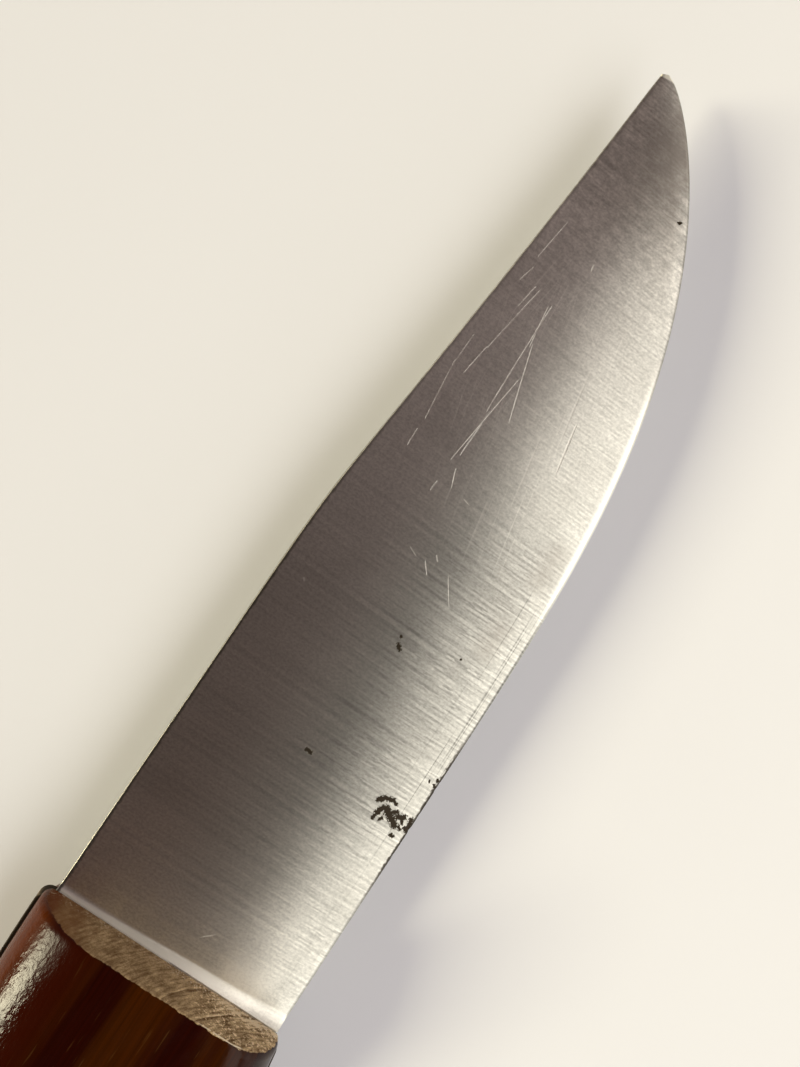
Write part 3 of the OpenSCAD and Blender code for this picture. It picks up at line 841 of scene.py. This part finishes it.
    # Painted light and painted shade in bands across the face by the scales
    by_heel = times(band(gap, 4.5, 6.5), band(gap, 12, 9.5, 0, 0.10))
    by_heel = plus(less(by_heel, band(gap, 4.5, 2.5, 0, 0.15)), band(gap, 18, 22, 0, 0.07))
    by_heel = times(by_heel, window(along, 1.5, 4, 10, 20))
    dull = less(plus(dull, belly), band(along, 18, 5, 0, 0.20), by_heel)
    patchy = band(noise(place, (0.9, 0.6, 0.5), 3, 0.6), 0.3, 0.7, -1, 1)
    patchy = times(patchy, band(along, 90, 112, 0, 0.18))
    tone = less(1, times(depth, rest(lines)), times(honed, 0.28), dull)
    tone = times(tone, plus(band(faint, 0.3, 0.7, 0.94, 1.04), patchy))
    tone = times(tone, band(grain, 0.25, 0.75, 0.84, 1.16))

    # Pale steel for the scratches, and for the painted highlights on the run-out, by the heel, along the
    # edge, on the tip's end and on the spine's corner
    pale = [min(1.0, 1.45 * c) for c in blade.steel]
    light = largest(strip_highlight, heel_highlight, edge_highlight, point, scratches, times(painted_spine_highlight, 0.7))
    # Rust colour for the pits, the tang behind the scales, and the darker edge by the heel and corner of
    # the spine
    dark = largest(pits, times(heel_edge, 0.85), corner, rim)
    base = nodes.shaded(opaque(blade.steel), tone)
    for share, tint in ((stain, blade.stain), (light, pale), (dark, blade.rust)):
        base = nodes.mix(share, base, opaque(tint))
    rough = plus(band(lines, 0, 1, 0.31, 0.29), times(stain, 0.06), times(scratches, 0.16))
    matt = times(coarse_and_highlit, band(y, 5, 20, 0.36, 0.62))
    rough = largest(rough, matt, times(point, 0.75), times(dark, 0.7))
    height = less(times(lines, 0.20), times(honed, 0.15), times(scratches, 0.5), times(pits, 2))
    tangent = nodes.put("ShaderNodeTangent", direction_type="UV_MAP", uv_map="Along").outputs[0]
    feed(nodes, shader, Base_Color=base, Metallic=1.0, Roughness=rough,
         Normal=nodes.bump(height, 0.6, 0.02), Anisotropic=0.95, Tangent=tangent)
    return material


def wood_material(blade, handle, origin):
    """Oiled dark wood with bands, fibres and flecks, and a bare end grain with rings at the front."""
    material, nodes, shader = new_material("oiled dark wood")
    band, noise, window, scaled = nodes.band, nodes.noise, nodes.window, nodes.scaled
    times, plus, less, largest, mix = nodes.times, nodes.plus, nodes.less, nodes.largest, nodes.mix
    place = nodes.heel_mm(origin)
    x, y, z = nodes.split(place)
    out = nodes.math("ABSOLUTE", z)
    deep = less(out, blade.tang_t / 2 / MM)

    # Growth rings about a heart outside the handle, and broad bands, fibres and flecks along it
    heart_y, heart_out = -14, 26
    ring_pitch, band_pitch = 3.7, 11
    from_heart = nodes.measure("LENGTH", nodes.join(less(y, heart_y), less(out, heart_out)))
    warp = scaled(noise(place, (0.02, 0.16, 0.16), 0), 0.3, -0.15)
    rings = plus(nodes.math("DIVIDE", less(from_heart, 34.9), ring_pitch), warp)
    rings = less(rings, nodes.math("ROUND", rings))
    bands = scaled(noise(place, (0.022, 0.3, 0.3), 3, 0.6), 6, y)
    bands = scaled(noise(place, (0.07, 0.6, 0.6)), 3, bands)
    bands = nodes.math("COSINE", times(less(bands, 15.7), 2 * math.pi / band_pitch))
    bands = times(band(bands, 0.95, -0.80), band(y, 27, 22, 0.2, 1))
    fibres = noise(place, (0.05, 2.6, 2.6), 3, 0.6)
    flecks = band(noise(place, (0.22, 2.4, 2.4), 1), 0.68, 0.78, 0, 0.35)
    side = mix(bands, opaque(handle.wood_dark), opaque(handle.wood_mid))
    side = nodes.shaded(side, band(fibres, 0.25, 0.75, 0.78, 1.22))
    side = mix(flecks, side, opaque(handle.wood_light))
    side = mix(band(y, 23, 27, 0, 0.7), side, opaque(handle.wood_red))

    # Polished amber wood along the back, and painted shade on the wood next to the tang
    back = band(less(y, (blade.width + handle.front_rise) / MM), -4, -0.8, 0, 0.9)
    side = mix(times(back, band(fibres, 0.2, 0.6, 0.6, 1)), side, opaque(handle.amber))
    # Painted shade in the crevice next to the tang
    side = mix(band(deep, 0.45, 0.05, 0, 0.85), side, opaque([0.3 * c for c in handle.wood_dark]))

    # Bare front: blotched end grain with a few ring lines, dark and amber towards the back
    front_x = nodes.ahead(blade, handle, x, y)
    worn = noise(place, (0.9, 0.9, 0.9), 3, 0.65)
    front = band(scaled(worn, 0.5, front_x), 0.02, 0.14)
    blotch = band(noise(place, (0.3, 0.5, 0.6), 4, 0.65), 0.30, 0.70, 0.72, 1.28)
    fibre_place = nodes.join(x, from_heart, scaled(out, 0.8, times(y, 0.6)))
    arcs = band(noise(fibre_place, (0.4, 2.6, 0.4), 4, 0.65), 0.28, 0.72, 0.56, 1.44)
    speck = band(noise(place, (1, 4.2, 4.2), 3, 0.65), 0.3, 0.7, 0.80, 1.20)
    pale_ring = window(rings, -0.01, 0.02, 0.03, 0.10)
    dark_ring = window(rings, -0.16, -0.04, -0.03, 0)
    ring_line = less(times(pale_ring, 0.55), times(dark_ring, 0.35))
    ring_line = scaled(ring_line, window(y, 4.5, 6.5, 15, 18.5), 1)
    spots = band(noise(place, (1, 2.2, 2.2), 3, 0.65), 0.54, 0.66, 0, 1.3)
    bare_tone = scaled(spots, band(y, 15, 8), times(ring_line, speck, arcs, blotch))
    bare_tone = largest(scaled(less(bare_tone, 1), band(y, 14, 8, 1.45, 2), 1), 0.1)
    by_steel = times(band(deep, 3, 0.6), band(y, 14, 8, 0, 0.8))
    bare_tone = scaled(bare_tone, by_steel, bare_tone)
    share = times(bare_tone, band(y, 4, 26, 0.34, 0.20))
    bare = mix(share, opaque(handle.end_dark), opaque(handle.end_pale))
    bare = mix(band(share, 0.55, 1, 0, 0.6), bare, opaque(handle.end_fleck))
    bare = mix(band(scaled(worn, 6, y), 28, 32.5, 0, 0.7), bare, opaque(handle.end_burnt))
    bare = mix(band(y, 30.4, 31.8, 0, 0.8), bare, opaque(handle.amber))
    base = mix(front, side, bare)

    # Pale dust in the joint to the blade, and a rubbed stretch of the lower corner of the front with a
    # painted highlight along it
    dust = band(noise(place, (1, 3, 3), 2, 0.6), 0.56, 0.64, 0, 0.8)
    dust = times(dust, front, band(deep, 2.2, 0.5), band(y, 18, 13, 0.3, 1))
    # Rubbed wood and a painted highlight along the lower corner of the front
    rubbed_arris_glint = times(band(deep, 6.5, 6.7), window(front_x, -0.13, -0.10, -0.05, -0.03))
    rubbed_arris_glint = times(rubbed_arris_glint, window(y, 3, 4.5, 8.5, 12), band(noise(place, (0.8, 1.8, 0.8)), 0.38, 0.46))
    base = mix(largest(dust, rubbed_arris_glint), base, opaque(handle.dust))

    # Gloss: smooth along the side, pebbled over the back, rough on the bare front
    polish = band(noise(place, (0.3, 0.5, 0.5), 3, 0.6), 0.3, 0.7, 0.13, 0.21)
    polish = scaled(band(x, -8, -1, 0, 0.12), band(y, 25, 28.5), polish)
    rough = largest(polish, times(front, 0.7))
    peel = noise(place, (1.5, 2.2, 2.2))
    height = times(scaled(fibres, 0.25, times(peel, 0.9)), band(y, 22, 27, 0.12, 1))
    height = scaled(times(front, bare_tone), 0.35, height)
    feed(nodes, shader, Base_Color=base, Roughness=rough, Normal=nodes.bump(height, 0.8, 0.075),
         Specular_IOR_Level=0.14)
    return material


def brass_material(brass, origin):
    """Dull brass, rubbed along the handle, with brown tarnish in clouds."""
    material, nodes, shader = new_material("dull brass")
    place = nodes.heel_mm(origin)
    rubbed = nodes.noise(place, (0.25, 7, 7), 3, 0.6, math.radians(6))
    clouds = nodes.band(nodes.noise(place, (0.55, 0.55, 0.55), 4, 0.65), 0.42, 0.68)
    share = nodes.times(clouds, nodes.band(rubbed, 0.3, 0.6, 1, 0.6))
    base = nodes.mix(nodes.times(share, 0.8), opaque(brass.brass), opaque(brass.tarnish))
    rough = nodes.scaled(share, 0.2, nodes.band(rubbed, 0.3, 0.7, 0.26, 0.38))
    feed(nodes, shader, Base_Color=base, Metallic=1.0, Roughness=rough,
         Normal=nodes.bump(rubbed, 0.4, 0.02))
    return material


# Stage

# Lamps: name; place, aim and size in metres; radiance of the face, tint, turn about the aim
WARM = (1.0, 0.975, 0.92)
LAMPS = (
    ("edge side softbox", (-0.06, -0.609, 0.70), (-0.06, -0.609, -0.30), (1.48, 0.76), 1.94, WARM,
     math.radians(9)),
    ("low edge side softbox", (0.15, -1.15, 0.55), (0, 0, 0), (1.4, 0.45), 0.72, WARM, 0.0),
    ("spine side softbox", (-8.66, 10.2, 6.63), (0, 0, 0), (2.7, 5.7), 48.0, (1.0, 0.93, 0.66), 0.0),
)

# Sky along X, from butt to tip: place between -1 and 1, and colour
SKY = ((-0.35, (0.065, 0.034, 0.0235)), (0.0, (0.0335, 0.025, 0.0225)),
       (0.36, (0.256, 0.215, 0.227)), (0.65, (0.460, 0.358, 0.344)))

# Horizon on the sides of the cutting edge, the spine and the tip
EDGE_SIDE = (0.82, 0.81, 0.80)
SPINE_SIDE = (0.18, 0.14, 0.105)
TIP_SIDE = (0.145, 0.137, 0.13)


def floor_material(stage):
    """A plain pale floor with a barely uneven tone, a little darker far out, below the lamps."""
    material, nodes, shader = new_material("pale floor")
    place = nodes.put("ShaderNodeTexCoord").outputs["Object"]
    cloudy = nodes.band(nodes.noise(place, (9, 9, 9)), 0.3, 0.7)
    base = nodes.mix(cloudy, opaque([0.985 * c for c in stage.floor]), opaque(stage.floor))
    far = nodes.measure("LENGTH", place)
    # Painted shade: the floor darkens a little far out, in place of the lamps' light falling off
    base = nodes.shaded(base, nodes.band(far, 0.22, 0.62, 1, 0.66))
    feed(nodes, shader, Base_Color=base, Roughness=0.9)
    return material


def softbox(name, place, aim, size, radiance, tint, turn):
    """A rectangular lamp at a place, facing its aim and turned about that line.

    Its power in watts is pi times its area times the radiance of its face.
    """
    lamp = bpy.data.lights.new(name, "AREA")
    lamp.shape = "RECTANGLE"
    lamp.size, lamp.size_y = size
    lamp.energy = math.pi * size[0] * size[1] * radiance
    lamp.color = tint
    light = bpy.data.objects.new(name, lamp)
    facing = (Vector(aim) - Vector(place)).to_track_quat("-Z", "Y").to_matrix().to_4x4()
    light.matrix_world = Matrix.Translation(place) @ facing @ Matrix.Rotation(turn, 4, "Z")
    bpy.context.scene.collection.objects.link(light)


def studio_world():
    """A dim warm sky that brightens towards the horizon, so that the ground steel has a dark side."""
    world = bpy.data.worlds.new("studio")
    bpy.context.scene.world = world
    world.use_nodes = True
    nodes = Nodes(world.node_tree)
    east, north, up = nodes.split(nodes.put("ShaderNodeTexCoord").outputs["Generated"])
    ramp = nodes.put("ShaderNodeValToRGB", {0: nodes.scaled(east, 0.5, 0.5)})
    steps = ramp.color_ramp.elements
    for k, (at, shade) in enumerate(SKY):
        step = steps[k] if k < 2 else steps.new(0.5 + at / 2)
        step.position, step.color = 0.5 + at / 2, opaque(shade)
    horizon = nodes.mix(nodes.band(north, -0.2, 0.45), opaque(EDGE_SIDE), opaque(SPINE_SIDE))
    horizon = nodes.mix(nodes.band(east, 0.1, 0.6, 0, 0.9), horizon, opaque(TIP_SIDE))
    shade = nodes.mix(nodes.band(up, 0.22, 0.55), horizon, ramp.outputs[0])
    nodes.fill(world.node_tree.nodes["Background"], {"Color": shade, "Strength": 1.0})


# Operators

class DECKKNIFE_OT_stage(bpy.types.Operator):
    """Make the floor, the lights, the world and the camera"""

    bl_idname = "deckknife.stage"
    bl_label = "Stage"

    def execute(self, context):
        scene = context.scene
        stage = scene.knife_stage
        scene.view_settings.view_transform = "Standard"
        studio_world()
        half = stage.floor_size / 2
        mesh = bpy.data.meshes.new("floor")
        corners = [(-half, -half, 0), (half, -half, 0), (half, half, 0), (-half, half, 0)]
        mesh.from_pydata(corners, [], [(0, 1, 2, 3)])
        floor = bpy.data.objects.new("floor", mesh)
        mesh.materials.append(floor_material(stage))
        scene.collection.objects.link(floor)

        for lamp in LAMPS:
            softbox(*lamp)

        origin = heel(scene.knife_blade)
        view = bpy.data.cameras.new("camera")
        view.lens = stage.lens
        view.sensor_width = 36.0
        view.clip_start = 0.005
        camera = bpy.data.objects.new("camera", view)
        turn = (Matrix.Rotation(-stage.camera_roll, 4, "X")
                @ Matrix.Rotation(-stage.camera_pitch, 4, "Y")
                @ Matrix.Rotation(-stage.camera_turn, 4, "Z"))
        place = origin + Vector((stage.camera_x, stage.camera_y, stage.camera_z))
        camera.matrix_world = Matrix.Translation(place) @ turn
        scene.collection.objects.link(camera)
        scene.camera = camera
        return {"FINISHED"}


class DECKKNIFE_OT_blade(bpy.types.Operator):
    """Make the steel blade with its tang"""

    bl_idname = "deckknife.blade"
    bl_label = "Blade and tang"

    def execute(self, context):
        scene = context.scene
        blade, handle, brass = scene.knife_blade, scene.knife_handle, scene.knife_brass
        origin = heel(blade)
        rings, gaps = steel_rings(blade, handle)
        ring_v = around(rings)
        along = np.broadcast_to(rings[:, :1, 0], ring_v.shape)
        closed = np.concatenate([rings, rings[:, :1]], axis=1)
        edge_gap, spine_gap = (np.hstack([g, g[:, :1]]) / MM for g in gaps)
        round_share = 0.01
        maps = {"Along": (closed[:, :, 0], closed[:, :, 1] + round_share * ring_v),
                "Edge": (along / MM, edge_gap), "Spine": (along / MM, spine_gap)}
        piece = shell("steel_blade", rings + np.array(origin), maps)
        reach = 2 * blade.tang_t
        drill(piece, hole_cutter(handle, brass, MIDDLE_Z + reach, MIDDLE_Z - reach, None))
        dress(piece, "blade", steel_material(blade, handle, origin))
        return {"FINISHED"}


class DECKKNIFE_OT_scales(bpy.types.Operator):
    """Make both wooden scales"""

    bl_idname = "deckknife.scales"
    bl_label = "Wooden scales"

    def execute(self, context):
        scene = context.scene
        blade, handle, brass = scene.knife_blade, scene.knife_handle, scene.knife_brass
        origin = heel(blade)
        material = wood_material(blade, handle, origin)
        reach = handle.thick
        even = handle.front_round, handle.front_round
        worn = handle.left_wear_l, handle.left_wear_d
        scales = (("right_scale", 1, "top", even), ("left_scale", -1, "bottom", worn))
        for name, side, heads, corner in scales:
            rings = scale_rings(handle, blade, *corner)
            piece = shell("wooden_" + name, rings * (1, 1, side) + np.array(origin))
            drill(piece, hole_cutter(handle, brass, MIDDLE_Z + reach, MIDDLE_Z - reach, heads))
            dress(piece, name, material)
        return {"FINISHED"}


class DECKKNIFE_OT_rivets(bpy.types.Operator):
    """Make the studs and caps of the brass rivets"""

    bl_idname = "deckknife.rivets"
    bl_label = "Brass rivets"

    def execute(self, context):
        scene = context.scene
        brass = scene.knife_brass
        material = brass_material(brass, heel(scene.knife_blade))
        pin, shank, rim, head = brass.pin_d / 2, brass.shank_d / 2, brass.ease, brass.head_t
        for rivet in RIVETS:
            low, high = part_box(rivet + "_stud")
            centre = (low + high) / 2
            r = (high.x - low.x) / 2
            face, hub = 0.5 * r, 0.1 * r
            under = high.z - head
            stud = [(pin - rim, low.z), (pin, low.z + rim), (pin, under), (r, under),
                    *rounded((r, high.z), rim, 0), (face, high.z), (hub, high.z)]
            low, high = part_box(rivet + "_cap")
            over = low.z + head
            inner = pin + brass.pin_gap
            cap = [(hub, low.z), (face, low.z), *rounded((r, low.z), rim, -math.pi / 2),
                   (r, over), (shank, over), (shank, high.z), (inner, high.z), (inner, over), (hub, over)]
            for half, profile in (("_stud", stud), ("_cap", cap)):
                piece = turned("brass_" + rivet + half, profile, centre)
                dress(piece, rivet + half, material)
        return {"FINISHED"}


class DECKKNIFE_OT_tube(bpy.types.Operator):
    """Make the brass lanyard tube"""

    bl_idname = "deckknife.tube"
    bl_label = "Lanyard tube"

    def execute(self, context):
        scene = context.scene
        brass = scene.knife_brass
        low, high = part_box("lanyard_tube")
        centre = (low + high) / 2
        r, bore = (high.x - low.x) / 2, brass.bore / 2
        mouth, outer = 0.55 * (r - bore), 0.25 * (r - bore)
        profile = np.vstack([
            rounded((r, high.z), outer, 0),
            rounded((bore, high.z), mouth, math.pi / 2, 7),
            rounded((bore, low.z), mouth, math.pi, 7),
            rounded((r, low.z), outer, -math.pi / 2)])
        piece = turned("brass_lanyard_tube", profile, centre, loop=True)
        material = brass_material(brass, heel(scene.knife_blade))
        dress(piece, "lanyard_tube", material)
        return {"FINISHED"}


class DECKKNIFE_PT_panel(bpy.types.Panel):
    """Lists the pieces of the knife"""

    bl_idname = "DECKKNIFE_PT_panel"
    bl_label = "Deck knife"
    bl_space_type = "VIEW_3D"
    bl_region_type = "UI"
    bl_category = "Deck knife"

    def draw(self, context):
        for operator in OPERATORS:
            self.layout.operator(operator.bl_idname)


GROUPS = {"knife_blade": BladeSizes, "knife_handle": HandleSizes, "knife_brass": BrassSizes,
          "knife_stage": StageSizes}
OPERATORS = (DECKKNIFE_OT_stage, DECKKNIFE_OT_blade, DECKKNIFE_OT_scales, DECKKNIFE_OT_rivets,
             DECKKNIFE_OT_tube)


def register():
    for group_name, group in GROUPS.items():
        bpy.utils.register_class(group)
        setattr(bpy.types.Scene, group_name, PointerProperty(type=group))
    for item in (*OPERATORS, DECKKNIFE_PT_panel):
        bpy.utils.register_class(item)


def unregister():
    for item in reversed((*OPERATORS, DECKKNIFE_PT_panel)):
        bpy.utils.unregister_class(item)
    for group_name, group in GROUPS.items():
        delattr(bpy.types.Scene, group_name)
        bpy.utils.unregister_class(group)


def main():
    register()
    bpy.ops.deckknife.stage()
    bpy.ops.deckknife.blade()
    bpy.ops.deckknife.scales()
    bpy.ops.deckknife.rivets()
    bpy.ops.deckknife.tube()


if __name__ == "__main__":
    main()
